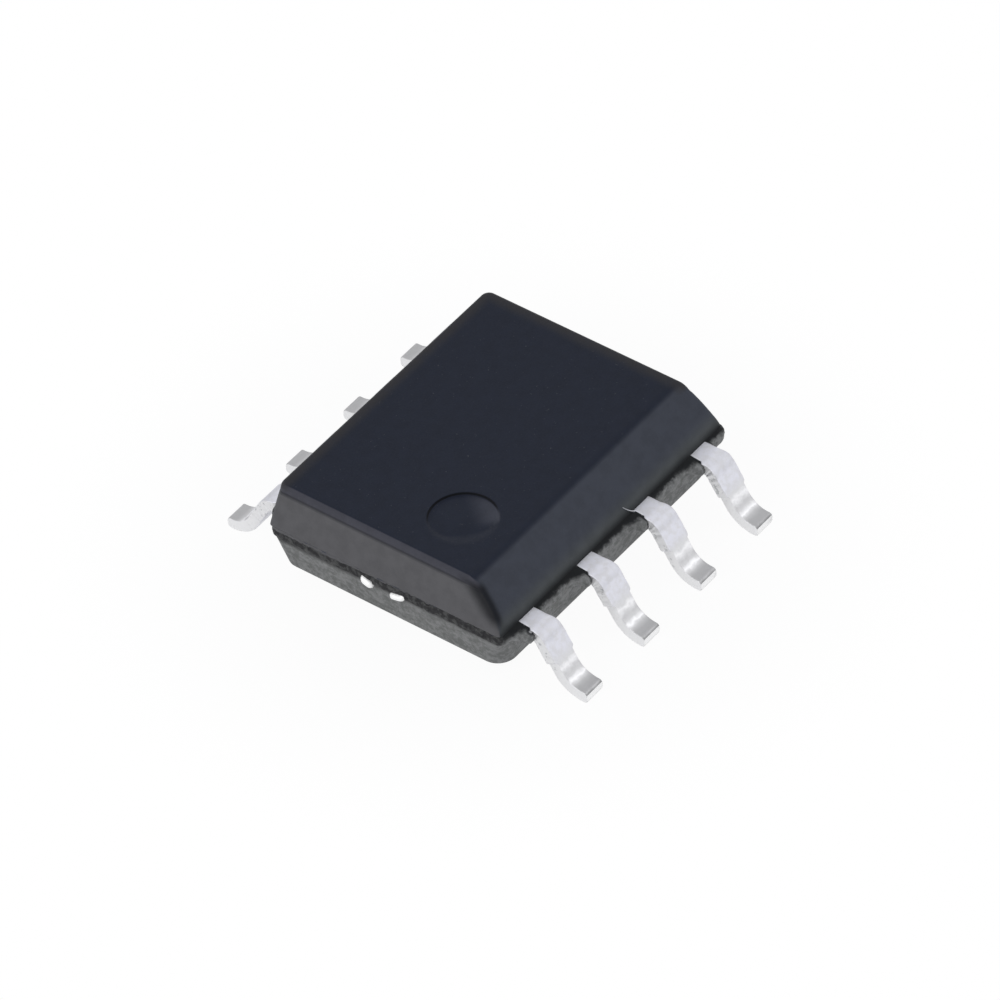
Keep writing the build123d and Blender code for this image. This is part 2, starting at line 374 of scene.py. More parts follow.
def body_rings():
    """Rings of the outside of the moulding, from the underside up to the top face."""
    rng = np.random.default_rng(SEED)
    rings = []

    def add(z, half_length, front, back, front_corner, back_corner):
        points, outward = ring(half_length, front, back, front_corner, back_corner)
        rings.append(np.column_stack([points, np.full(len(points), z)]))
        return points, outward

    def lower(z, pull=0.0):
        inset = (FRAME_BOTTOM - z) * tan(LOWER_DRAFT) + pull
        half_width = HALF_WIDTH - inset
        add(z, HALF_LENGTH - inset, half_width, half_width, LOWER_CORNER, LOWER_BACK_CORNER)

    lower(STANDOFF, LOWER_EDGE_ROUND + FLAT_MARGIN)
    for turn in np.linspace(0, pi / 2, 7):
        pull = LOWER_EDGE_ROUND * (1 - sin(turn))
        lower(STANDOFF + LOWER_EDGE_ROUND * (1 - cos(turn)), pull)
    for z in np.linspace(STANDOFF + LOWER_EDGE_ROUND + 0.03, FRAME_BOTTOM - 0.012, 10):
        lower(z)

    base, outward = ring(HALF_LENGTH, HALF_WIDTH, HALF_WIDTH, FLASH_CORNER, FLASH_CORNER)
    reach = flash_reach(base, outward, rng)
    run = np.arange(len(base)) * COLUMN_SPACING
    for rise, share in FLASH_PROFILE:
        rough = ragged(run, 0.08, 0.006, rng) * share * (reach > 0)
        out = np.maximum(share * reach + rough, 0)
        out = np.minimum(out, np.where(np.abs(outward[:, 1]) > 0.5, NUB_REACH, END_FLASH))
        points = base + outward * out[:, None]
        rings.append(np.column_stack([points, np.full(len(points), FRAME_BOTTOM + rise)]))

    # Rows stand closest at the bevel's foot, the crease and the top edge
    heights = np.concatenate(
        [
            FRAME_TOP + np.array([0.001, 0.02, 0.05, 0.09]),
            np.linspace(1.05, 1.24, 14),
            np.linspace(1.27, BODY_TOP - CREASE_BELOW_TOP - 0.045, 6),
            BODY_TOP - CREASE_BELOW_TOP + np.linspace(-0.034, 0.034, 9),
            np.linspace(BODY_TOP - 0.084, BODY_TOP - TOP_EDGE_ROUND - 0.005, 4),
            BODY_TOP - TOP_EDGE_ROUND * (1 - np.sin(np.linspace(0, pi / 2, 10))),
        ]
    )
    for z in heights:
        add(z, *upper_row(z))
    half_length, front, back, *corners = upper_row(BODY_TOP)
    add(BODY_TOP, half_length - FLAT_MARGIN, front - FLAT_MARGIN, back - FLAT_MARGIN, *corners)
    return rings


def dimple_rings():
    """Rings of the dimple: steep on its far side, sloping on the near side, with a domed floor."""
    turn = np.linspace(0, 2 * pi, DIMPLE_SIDES, endpoint=False)
    nearness = (1 - np.cos(turn - DIMPLE_FAR_SIDE)) / 2
    run = DIMPLE_WALL + DIMPLE_SLOPE * nearness**2
    profile = [(DIMPLE_RADIUS + FLAT_MARGIN + 0 * turn, 0.0)]
    for share in np.linspace(0, 1, 9):
        profile.append((DIMPLE_RADIUS - share * run, DIMPLE_DEPTH * share**2 * (3 - 2 * share)))
    for share in DIMPLE_FLOOR_ROWS:
        depth = DIMPLE_DEPTH - DIMPLE_FLOOR_RISE * (1 - share**2)
        profile.append((share * (DIMPLE_RADIUS - run), depth))
    return [
        np.column_stack(
            [
                DIMPLE_AT[0] + radius * np.cos(turn),
                DIMPLE_AT[1] + radius * np.sin(turn),
                np.full(DIMPLE_SIDES, BODY_TOP - depth),
            ]
        )
        for radius, depth in profile
    ]


def moulded_body(material):
    rings, dimple = body_rings(), dimple_rings()
    around = len(rings[0])
    dimple_first = around * len(rings)
    points = np.concatenate(rings + dimple)
    faces = joined_rings(rings) + joined_rings(dimple, dimple_first)
    faces.append(tuple(range(around)))
    faces.append(tuple(range(len(points) - DIMPLE_SIDES, len(points))))
    last_ring = list(range(dimple_first - around, dimple_first))
    rim = list(range(dimple_first, dimple_first + DIMPLE_SIDES))
    outlines = [[Vector(points[i]) for i in last_ring], [Vector(points[i]) for i in rim]]
    order = last_ring + rim
    faces += [tuple(order[i] for i in corners) for corners in tessellate_polygon(outlines)]
    return make_piece("body_skin", points, faces, material, "moulded_body")


def section_template(across, through):
    """Points of a rounded rectangle as shares of its half width, half thickness and edge."""
    quarter = np.linspace(0, pi / 2, 4)
    template = []
    for sx, sz, start in ((1, 1, 0), (-1, 1, pi / 2), (-1, -1, pi), (1, -1, 3 * pi / 2)):
        template += [(sx, sz, cos(start + t), sin(start + t)) for t in quarter]
        flat_run = across if sx * sz > 0 else through
        for share in np.linspace(1, -1, flat_run + 2)[1:-1]:
            if sx * sz > 0:
                template.append((sx * share, sz, 0, sz))
            else:
                template.append((sx, sz * share, sx, 0))
    return np.array(template)


def swept_strip(along, up, tilt, low_edge, high_edge, half_thick, edge, rough=None):
    """Rings of a flat strip bent along a path: (across, along, up) for each point."""
    template = section_template(across=9, through=5)
    rings = []
    for n in range(len(along)):
        middle = (low_edge[n] + high_edge[n]) / 2
        half = (high_edge[n] - low_edge[n]) / 2
        round_edge = min(edge, half_thick[n] * 0.9)
        across = middle + template[:, 0] * (half - round_edge) + template[:, 2] * round_edge
        lift = template[:, 1] * (half_thick[n] - round_edge) + template[:, 3] * round_edge
        if rough is not None:
            on_side = np.abs(template[:, 2]) > 0.95
            across = across - np.sign(template[:, 0]) * on_side * rough[n]
        rings.append(
            np.column_stack([across, along[n] + lift * sin(tilt[n]), up[n] + lift * cos(tilt[n])])
        )
    return rings


def lead_path(tip):
    """Middle line of a lead from its inner tip outwards: along, up, tilt and the length run."""
    foot = FRAME_THICKNESS / 2
    drop = FRAME_MIDDLE - foot
    bends = (SHOULDER_RADIUS + HEEL_RADIUS) * (1 - cos(LEAD_SLOPE))
    straight = (drop - bends) / sin(LEAD_SLOPE)
    spans = [
        (SHOULDER_END - tip, 0.0, 46),
        (SHOULDER_RADIUS * LEAD_SLOPE, 1 / SHOULDER_RADIUS, 18),
        (straight, 0.0, 26),
        (HEEL_RADIUS * LEAD_SLOPE, -1 / HEEL_RADIUS, 26),
    ]
    along, up, tilt, run = [tip], [FRAME_MIDDLE], [0.0], [0.0]

    def walk(length, curve, steps):
        for _ in range(steps):
            step = length / steps
            middle = tilt[-1] + curve * step / 2
            along.append(along[-1] + step * cos(middle))
            up.append(up[-1] - step * sin(middle))
            tilt.append(tilt[-1] + curve * step)
            run.append(run[-1] + step)

    for length, curve, steps in spans:
        walk(length, curve, steps)
    toe = LEAD_REACH - TOE_ROUND
    walk(toe - along[-1], 0.0, 14)
    for turn in np.linspace(0, pi / 2, 7)[1:]:
        walk(toe + TOE_ROUND * sin(turn) - along[-1], 0.0, 1)
    return [np.array(values) for values in (along, up, tilt, run)]


def finger_edges(along, corner_lead):
    """Inner and outer edges of a lead's flat end, measured along X from the body's middle."""
    x = 1.5 * PITCH if corner_lead else PITCH / 2
    low, high = x - LEAD_HALF, x + LEAD_HALF
    notch = [LOCK_NOTCH_AT - LOCK_NOTCH_DEPTH, LOCK_NOTCH_AT, LOCK_NOTCH_AT + LOCK_NOTCH_DEPTH]
    if corner_lead:
        inside_at = [CORNER_TIP, CORNER_SHOULDER, CORNER_SHOULDER + low - CORNER_TIP_INSIDE]
        inside = [CORNER_TIP_INSIDE, CORNER_TIP_INSIDE, low]
        outside_at = [CORNER_TIP, CORNER_TIP + high - CORNER_TIP_OUTSIDE]
        outside = [CORNER_TIP_OUTSIDE, high]
    else:
        flare = FINGER_NECK - (FINGER_TIP_HALF - LEAD_HALF)
        inside_at = outside_at = [FINGER_TIP, flare, FINGER_NECK]
        inside = [x - FINGER_TIP_HALF, x - FINGER_TIP_HALF, low]
        outside = [x + FINGER_TIP_HALF, x + FINGER_TIP_HALF, high]
    low_notch = [low, low + LOCK_NOTCH_DEPTH, low]
    high_notch = [high, high - LOCK_NOTCH_DEPTH, high]
    low_edge = np.interp(along, inside_at + notch, inside + low_notch)
    high_edge = np.interp(along, outside_at + notch, outside + high_notch)
    return low_edge, high_edge


def make_lead(pin, x, side, material):
    """One lead: flat finger in the resin, gull wing outside, and stubs of the punched-out bar."""
    rng = np.random.default_rng(SEED + pin)
    corner_lead = abs(x) > PITCH
    along, up, tilt, run = lead_path(CORNER_TIP if corner_lead else FINGER_TIP)
    low_edge, high_edge = finger_edges(along, corner_lead)
    tip = along[0]
    shoulder_corner = SHOULDER_RADIUS * tan(LEAD_SLOPE / 2)
    stub_from = STUB_START - tip
    bend_saved = 2 * shoulder_corner - SHOULDER_RADIUS * LEAD_SLOPE
    stub_to = SHOULDER_END + shoulder_corner + STUB_ALONG_SLOPE - bend_saved - tip
    outside = smooth_step(run, stub_from - 0.1, stub_from)
    for edge, way in ((low_edge, -1), (high_edge, 1)):
        start = stub_from + rng.uniform(-0.01, 0.02)
        end = stub_to + rng.uniform(-0.03, 0.02)
        ramp = STUB_GENTLE if (way > 0) == (x > 0) else STUB_ABRUPT
        stub = smooth_step(run, start, start + ramp)
        stub *= 1 - smooth_step(run, end, end + STUB_ABRUPT)
        stub_out = STUB_HALF - LEAD_HALF - STUB_WANDER[1] + ragged(run, *STUB_WANDER, rng)
        edge += way * stub * stub_out
        edge += way * outside * (ragged(run, *LEAD_WANDER, rng) - LEAD_WANDER[1])
    stubs = smooth_step(run, stub_from, stub_from + 0.03)
    stubs *= 1 - smooth_step(run, stub_to, stub_to + 0.04)
    rough = stubs * np.abs(ragged(run, *TORN_SIDE, rng))
    rough += outside * np.abs(ragged(run, *SHEARED_SIDE, rng))
    to_toe = np.maximum(along - (LEAD_REACH - TOE_ROUND), 0) / TOE_ROUND
    half_thick = FRAME_THICKNESS / 2 - TOE_ROUND * (1 - np.sqrt(1 - np.minimum(to_toe, 1) ** 2))
    rings = swept_strip(along, up, tilt, low_edge, high_edge, half_thick, LEAD_EDGE, rough)
    strips = [np.array(rings) * (1 if x > 0 else -1, side, 1)]
    if pin == BURR_PIN:
        strips.append(burr(x - LEAD_HALF, side))
    points, faces = closed_strips(strips)
    return make_piece(f"lead_{pin}_skin", points, faces, material, f"lead_{pin}")


def burr(x, side):
    """Hair of metal from a lead's top edge, lying up along the wall."""
    turn = np.linspace(0, 2 * pi, 8, endpoint=False)
    rings = []
    for share in np.linspace(0, 1, 10):
        size = BURR_WIDTH * (1 - 0.8 * share) / 2
        out = HALF_WIDTH + 0.03 - 0.05 * share
        up = FRAME_TOP - 0.01 + BURR_RISE * share**1.4
        rings.append(
            np.column_stack(
                [
                    np.full(len(turn), x + 0.03 - BURR_LENGTH * share),
                    side * (out + size * np.cos(turn)),
                    up + 2 * size * np.sin(turn),
                ]
            )
        )
    return np.array(rings)


def closed_strips(strips):
    """Points and faces of several strips of rings, each closed at both ends."""
    points, faces = [], []
    for rings in strips:
        first = len(points)
        around = len(rings[0])
        faces += joined_rings(rings, first)
        points += np.concatenate(rings).tolist()
        for cap in (first, len(points) - around):
            faces.append(tuple(range(cap, cap + around)))
    return points, faces


def tie_strip(y, way, cut):
    """One tie bar, from under the pad up to the frame's level and out through the end face."""
    pad_middle = FRAME_MIDDLE - PAD_DOWNSET
    corners = [PAD_HALF_LENGTH - 2 * TIE_HALF, TIE_FOOT, TIE_FOOT + PAD_DOWNSET, TIE_END]
    dome = np.sin(np.linspace(0, pi / 2, 9))[1:]
    along = np.linspace(corners[0], TIE_END - TIE_DOME, TIE_ROWS)
    along = np.concatenate([along, TIE_END - TIE_DOME + TIE_DOME * dome * 0.999])
    up = np.interp(along, corners, [pad_middle, pad_middle, FRAME_MIDDLE, FRAME_MIDDLE])
    smeared = smooth_step(along, TIE_END - 2.5 * TIE_DOME, TIE_END - TIE_DOME)
    y = y - TIE_CUT_SHIFT * smeared
    round_off = np.sqrt(1 - np.concatenate([np.zeros(TIE_ROWS), dome * 0.995]) ** 2)
    half = (TIE_HALF + (cut[0] - TIE_HALF) * smeared) * (0.3 + 0.7 * round_off)
    thick = FRAME_THICKNESS / 2
    thick = (thick + (cut[1] - thick) * smeared) * (0.2 + 0.8 * round_off)
    flat = np.zeros(len(along))
    up = up - TIE_CUT_DROP * smeared
    rings = np.array(swept_strip(along, up, flat, y - half, y + half, thick, TIE_EDGE))
    rings[:, :, 2] += cut[2] * smeared[:, None] * (rings[:, :, 0] - y[:, None])
    return rings[:, :, [1, 0, 2]] * (way, 1, 1)


def make_die_pad(material):
    """Pad under the die, with its four tie bars, whose cut ends show in the end faces."""
    along = np.array([-PAD_HALF_LENGTH, PAD_HALF_LENGTH])
    flat = np.ones(2)
    up = (FRAME_MIDDLE - PAD_DOWNSET) * flat
    pad = swept_strip(
        along, up, 0 * flat, -PAD_HALF_WIDTH * flat, PAD_HALF_WIDTH * flat,
        FRAME_THICKNESS / 2 * flat, LEAD_EDGE,
    )
    strips = [np.array(pad)[:, :, [1, 0, 2]]]
    strips += [tie_strip(y, way, cut) for y, cut in zip(TIE_CENTRES, TIE_CUT) for way in (-1, 1)]
    points, faces = closed_strips(strips)
    return make_piece("die_pad_skin", points, faces, material, "die_pad")


class Graph:
    """A material's nodes. Inputs are set or linked by name, or by number as i0, i1 and so on."""

    def __init__(self, name):
        self.material = bpy.data.materials.new(name)
        self.material.use_nodes = True
        self.tree = self.material.node_tree
        self.tree.nodes.clear()

    def add(self, kind, settings=None, **inputs):
        node = self.tree.nodes.new("ShaderNode" + kind)
        for key, value in (settings or {}).items():
            setattr(node, key, value)
        for key, value in inputs.items():
            by_number = key[0] == "i" and key[1:].isdigit()
            self.feed(node.inputs[int(key[1:]) if by_number else key], value)
        return node

    def feed(self, socket, value):
        if isinstance(value, bpy.types.NodeSocket):
            self.tree.links.new(value, socket)
        else:
            socket.default_value = value

    def place(self):
        """Position on the object in millimetres."""
        coordinates = self.add("TexCoord").outputs["Object"]
        scaled = self.add("VectorMath", {"operation": "SCALE"}, Vector=coordinates, Scale=1 / MM)
        return scaled.outputs[0]

    def noise(self, place, scale, detail=3.0, roughness=0.55):
        node = self.add("TexNoise", Vector=place, Scale=scale, Detail=detail, Roughness=roughness)
        return node.outputs["Fac"]

    def between(self, value, start, end, low=0.0, high=1.0, way="SMOOTHSTEP"):
        """Change from low to high as the value goes from start to end, smooth or in proportion."""
        ends = {"From Min": start, "From Max": end, "To Min": low, "To Max": high}
        node = self.add("MapRange", {"interpolation_type": way}, Value=value, **ends)
        return node.outputs["Result"]

    def mix(self, share, a, b):
        node = self.add("Mix", {"data_type": "RGBA"}, i0=share)
        self.feed(node.inputs[6], a)
        self.feed(node.inputs[7], b)
        return node.outputs[2]

    def maths(self, operation, a, b=0.5):
        return self.add("Math", {"operation": operation}, i0=a, i1=b).outputs[0]

    def bump(self, height, strength, distance, normal=None):
        node = self.add("Bump", Height=height, Strength=strength, Distance=distance * MM)
        if normal is not None:
            self.feed(node.inputs["Normal"], normal)
        return node.outputs["Normal"]

    def surface(self, **inputs):
        bsdf = self.add("BsdfPrincipled")
        for key, value in inputs.items():
            self.feed(bsdf.inputs[key.replace("_", " ")], value)
        output = self.add("OutputMaterial")
        self.tree.links.new(bsdf.outputs["BSDF"], output.inputs["Surface"])
        return self.material


# Resin colours. The top, wall, bevel and side colours are partly each face's finish and partly
# painted light and shade
TOP_COLOUR = (0.0140, 0.0185, 0.0330, 1)
# Painted highlight on one side of the dimple's floor
DIMPLE_HIGHLIGHT_COLOUR = (0.066, 0.071, 0.092, 1)
EDGE_COLOUR = (0.070, 0.071, 0.088, 1)
DUST_COLOUR = (0.110, 0.112, 0.120, 1)
WALL_COLOUR = (0.129, 0.128, 0.133, 1)
BEVEL_COLOUR = (0.060, 0.067, 0.086, 1)
SIDE_COLOUR = (0.088, 0.096, 0.099, 1)
# Near black: painted shade on the ledge under the walls, at the side walls' foot and beside the
# leads
LEDGE_SHADE_COLOUR = (0.0115, 0.0130, 0.0145, 1)
LOWER_COLOUR = (0.345, 0.350, 0.345, 1)
LOWER_DARK = (0.175, 0.180, 0.175, 1)
# Share of painted shade on the lower half's end faces
LOWER_END_SHADE = 0.14
UNDERSIDE_COLOUR = (0.240, 0.245, 0.240, 1)
BAND_DARK = (0.022, 0.022, 0.024, 1)
BAND_PALE = (0.080, 0.081, 0.080, 1)
# Painted shade, for the dark lines along creases and edges and for the chip's hollow
SHADE_BLACK = (0.003, 0.004, 0.007, 1)
# Painted sheen on the top face's far edges
EDGE_SHEEN_COLOUR = (0.046, 0.044, 0.045, 1)
# Painted glint in the chip
GLINT_COLOUR = (0.50, 0.50, 0.50, 1)
BLACK = (0.0, 0.0, 0.0, 1)

# Metals: matt tin and its stains, the leads' sheared and torn sides, their toes, the tie bars' ends
TIN_GREY = (0.76, 0.76, 0.80, 1)
TIN_BLUE = (0.79, 0.795, 0.86, 1)
TIN_STAIN = (0.2, 0.2, 0.2, 1)
SHEARED_COLOUR = (0.84, 0.84, 0.85, 1)
TORN_DARK = (0.52, 0.53, 0.54, 1)
TORN_PALE = (0.80, 0.80, 0.81, 1)
TOE_COLOUR = (0.97, 0.97, 0.97, 1)
CUT_METAL_GREY = (0.92, 0.92, 0.92, 1)
CUT_METAL_PALE = (0.97, 0.97, 0.97, 1)

# Pieces sealed in the resin
GOLD_COLOUR = (0.85, 0.62, 0.22, 1)
SILICON_COLOUR = (0.20, 0.21, 0.24, 1)
PASTE_COLOUR = (0.6, 0.6, 0.62, 1)

# Studio: the floor's paint, and the light from the horizon and below, from higher up and overhead
FLOOR_GREY = (0.93, 0.93, 0.93, 1)
FLOOR_PALE = (0.95, 0.95, 0.95, 1)
ROOM_HORIZON = (0.95, 0.95, 0.97, 1)
ROOM_RAISED = (0.48, 0.49, 0.53, 1)
ROOM_OVERHEAD = (0.42, 0.43, 0.47, 1)
ROOM_RAISED_AT = 0.55
ROOM_STRENGTH = 0.8

# Tin from the slope out to the toe, with painted light: shares of the way, and the grey painted
# there, which makes two painted highlight bands across the heel and painted shade on the foot
HEEL_LIGHT_FROM, HEEL_LIGHT_TO = 2.50, 3.03
HEEL_PAINTED_LIGHT = (
    (0.0, 0.70), (1.0, 0.28), (0.17, 0.76), (0.23, 1.00), (0.29, 0.76), (0.345, 0.62),
    (0.40, 0.60), (0.495, 0.90), (0.545, 0.66), (0.62, 0.54), (0.72, 0.47), (0.93, 0.48),
)


def moulding_compound():
    """Black epoxy: a fine top face and eroded walls, each face lighter or darker by the way it
    faces, partly its own finish and partly painted light and shade, and rougher, paler resin below
    the frame.
    """
    g = Graph("moulding_compound")
    place = g.place()
    position = g.add("SeparateXYZ", Vector=place).outputs
    facing = g.add("SeparateXYZ", Vector=g.add("NewGeometry").outputs["True Normal"]).outputs
    height = position["Z"]
    sideways = g.maths("ABSOLUTE", position["Y"])
    grain = g.noise(place, 38.0, 4.0, 0.6)
    cloud = g.noise(place, 5.0, 3.0, 0.5)
    mottle = g.noise(place, 14.0, 5.0, 0.7)
    patches = g.maths("ADD", g.maths("MULTIPLY", mottle, 0.6), g.maths("MULTIPLY", cloud, 0.4))

    # Colour by the way a face looks: partly its own finish, partly painted light and shade, with
    # the end faces lightest and the top darkest
    end_share = g.between(g.maths("ABSOLUTE", facing["X"]), 0.55, 0.85)
    bevel_share = g.between(facing["Z"], 0.35, 0.6)
    top_share = g.between(facing["Z"], 0.86, 0.98)
    # Painted shade: the side walls darken to near black towards the ledge at their foot
    side = g.mix(g.between(height, FRAME_TOP - 0.04, FRAME_TOP + 0.15), LEDGE_SHADE_COLOUR, SIDE_COLOUR)
    upper = g.mix(end_share, side, WALL_COLOUR)
    upper = g.mix(bevel_share, upper, BEVEL_COLOUR)
    strip = g.between(height, BODY_TOP - 0.145, BODY_TOP - 0.115)
    strip = g.maths("MULTIPLY", strip, g.between(g.maths("ABSOLUTE", facing["X"]), 0.2, 0.4))
    upper = g.mix(strip, upper, EDGE_COLOUR)
    _, _, from_mark = from_dimple(g, position)
    in_mark = g.between(from_mark, DIMPLE_RADIUS + 0.03, DIMPLE_RADIUS + 0.015)
    in_mark = g.maths("MULTIPLY", in_mark, g.between(height, BODY_TOP - 0.07, BODY_TOP - 0.06))
    upper = g.mix(g.maths("MAXIMUM", top_share, in_mark), upper, TOP_COLOUR)
    # Painted sheen along the top face's far end and far side
    upper = g.mix(edge_sheen_share(g, position, cloud), upper, EDGE_SHEEN_COLOUR)
    # Painted highlight on the dimple's floor
    upper = g.mix(dimple_highlight_share(g, position), upper, DIMPLE_HIGHLIGHT_COLOUR)
    dust = g.between(g.noise(place, 27.0, 2.0, 0.5), 0.70, 0.76, 0.0, 0.3)
    upper = g.mix(dust, upper, DUST_COLOUR)
    # Painted shade along the crease under the top edge, down the bevel's ends and on the dimple's
    # far wall
    upper = g.mix(painted_shade_lines(g, position, facing), upper, SHADE_BLACK)

    at_end = g.between(g.maths("ABSOLUTE", position["X"]), HALF_LENGTH - 0.05, HALF_LENGTH + 0.005)
    # Painted shade: the lower half is darker where it faces along X
    shaded_lower_end = g.between(g.maths("ABSOLUTE", facing["X"]), 0.5, 0.9, 0.0, LOWER_END_SHADE)
    lower = g.mix(g.between(patches, 0.40, 0.62), LOWER_DARK, LOWER_COLOUR)
    underneath = g.between(facing["Z"], -0.6, -0.9, 0.0, 0.6)
    lower = g.mix(underneath, lower, UNDERSIDE_COLOUR)
    lower = g.mix(shaded_lower_end, lower, BLACK)
    band = g.mix(g.between(g.noise(place, 14.0, 3.0, 0.55), 0.44, 0.66), BAND_DARK, BAND_PALE)
    wander = g.between(g.noise(place, 8.0, 3.0, 0.6), 0.3, 0.7, -0.03, 0.03)
    below = g.maths("MULTIPLY", g.maths("SUBTRACT", FRAME_TOP, height), 0.8)
    out = g.maths("ADD", g.maths("ADD", sideways, below), wander)
    out = g.maths("SUBTRACT", out, shade_reach_beside_lead(g, position, wander))
    # Painted shade: the ledge is near black next to the wall, and further out just before each lead
    ledge = g.mix(g.between(out, HALF_WIDTH + 0.045, HALF_WIDTH + 0.15), LEDGE_SHADE_COLOUR, lower)
    # Painted shade in the cracks beside the leads
    ledge = g.mix(shade_by_leads(g, position, mottle), ledge, LEDGE_SHADE_COLOUR)
    ledge = g.mix(at_end, ledge, band)
    lowered = g.between(position["Y"], -1.2, 1.9, 0.012, 0.065)
    lowered = g.maths("ADD", lowered, g.between(mottle, 0.3, 0.7, 0.014, -0.014))
    lowered = g.maths("MULTIPLY", lowered, g.between(at_end, 0.4, 0.6))
    parting = g.maths("ADD", height, lowered)
    ragged_height = g.maths("ADD", parting, g.between(mottle, 0.3, 0.7, -0.03, 0.03))
    colour = g.mix(g.between(ragged_height, FRAME_BOTTOM - 0.07, FRAME_BOTTOM + 0.05), lower, ledge)
    colour = g.mix(g.between(parting, FRAME_TOP + 0.001, FRAME_TOP + 0.004), colour, upper)
    # Painted shade in the chip's hollow, and a painted glint
    chip_hollow_shade, glint = chip_shade_and_glint(g, position)
    colour = g.mix(chip_hollow_shade, colour, SHADE_BLACK)
    colour = g.mix(glint, colour, GLINT_COLOUR)
    colour = g.mix(g.between(cloud, 0.3, 0.75, 0.0, 0.15), colour, BLACK)

    above = g.between(height, FRAME_BOTTOM - 0.02, FRAME_TOP + 0.05)
    coarse = g.maths("MULTIPLY", mottle, g.between(above, 0, 1, 1.0, 0.15))
    relief = g.bump(coarse, 0.6, 0.02)
    relief = g.bump(grain, 0.35, 0.004, relief)
    roughness = g.between(grain, 0.3, 0.7, 0.5, 0.62)
    return g.surface(
        Base_Color=colour,
        Roughness=roughness,
        Specular_IOR_Level=0.15,
        Normal=relief,
    )


def chip_shade_and_glint(g, position):
    """Chip out of one nub's corner, only painted: the share of painted shade in its hollow, and of
    the painted glint in it.
    """
    offset = [g.maths("SUBTRACT", position[axis], at) for axis, at in zip("XYZ", CHIP_AT)]
    squares = [g.maths("MULTIPLY", part, part) for part in offset]
    away = g.maths("SQRT", g.maths("ADD", g.maths("ADD", squares[0], squares[1]), squares[2]))
    return g.between(away, 0.075, 0.04, 0.0, 0.8), g.between(away, 0.03, 0.012)


def past_lead(g, position):
    """How far along X a point is from the middle of the nearest lead."""
    pitches = g.maths("SUBTRACT", g.maths("DIVIDE", position["X"], PITCH), 0.5)
    lead_x = g.maths("MULTIPLY", g.maths("ADD", g.maths("ROUND", pitches), 0.5), PITCH)
    return g.maths("SUBTRACT", position["X"], lead_x)


def shade_reach_beside_lead(g, position, wander):
    """How much further out the painted shade on the ledge reaches just before each lead."""
    from_lead = g.maths("ADD", past_lead(g, position), wander)
    before = g.between(from_lead, -LEAD_HALF - 0.32, -LEAD_HALF - 0.10, 0.0, 0.06)
    return g.maths("MULTIPLY", before, g.between(from_lead, 0.01, 0.0))


def shade_by_leads(g, position, mottle):
    """Painted shade in the crack between each nub and its lead, and, less dark, just past each
    lead's other edge.
    """
    from_lead = past_lead(g, position)
    from_lead = g.maths("ADD", from_lead, g.between(mottle, 0.3, 0.7, -0.02, 0.02))
    nub_side = g.between(from_lead, -LEAD_HALF - 0.075, -LEAD_HALF - 0.03)
    far_side = g.between(from_lead, LEAD_HALF + 0.05, LEAD_HALF + 0.01, 0.0, 0.6)
    nub_side = g.maths("MULTIPLY", nub_side, g.between(from_lead, 0.01, 0.0))
    far_side = g.maths("MULTIPLY", far_side, g.between(from_lead, 0.0, 0.01))
    return g.maths("MAXIMUM", nub_side, far_side)


def edge_sheen_share(g, position, cloud):
    """Painted sheen, greyer than the top, along the two edges of the top face that the bevel and
    the mark leave free.
    """
    rise = BODY_TOP - FRAME_TOP
    end, side = HALF_LENGTH - rise * tan(END_DRAFT), HALF_WIDTH - rise * tan(SIDE_DRAFT)
    far_end = g.between(position["X"], end - 0.26, end - 0.05, 0.0, 0.8)
    far_side = g.between(position["Y"], side - 0.24, side - 0.05, 0.0, 0.8)
    share = g.maths("MAXIMUM", far_end, far_side)
    share = g.maths("MULTIPLY", share, g.between(cloud, 0.3, 0.6, 0.7, 1.0))
    return g.maths("MULTIPLY", share, g.between(position["Z"], BODY_TOP - 0.10, BODY_TOP - 0.04))


def from_dimple(g, position):
    """Offsets along X and Y from the dimple's middle, and the distance from it."""
    x = g.maths("SUBTRACT", position["X"], DIMPLE_AT[0])
    y = g.maths("SUBTRACT", position["Y"], DIMPLE_AT[1])
    radius = g.maths("SQRT", g.maths("ADD", g.maths("MULTIPLY", x, x), g.maths("MULTIPLY", y, y)))
    return x, y, radius


def towards(g, x, y, angle):
    """How far a point lies in one direction, as a share of the dimple's radius."""
    along = g.maths("ADD", g.maths("MULTIPLY", x, cos(angle)), g.maths("MULTIPLY", y, sin(angle)))
    return g.maths("DIVIDE", along, DIMPLE_RADIUS)


def dimple_highlight_share(g, position):
    """Painted highlight: a paler part of the dimple's floor, on the side away from the end face."""
    x, y, radius = from_dimple(g, position)
    lit_side = g.between(towards(g, x, y, radians(-40)), 0.1, 0.9)
    far = g.between(towards(g, x, y, DIMPLE_FAR_SIDE), -0.45, -0.1)
    inside = g.between(radius, DIMPLE_RADIUS - 0.01, DIMPLE_RADIUS - 0.05)
    return g.maths("MULTIPLY", g.maths("MULTIPLY", lit_side, inside), far)


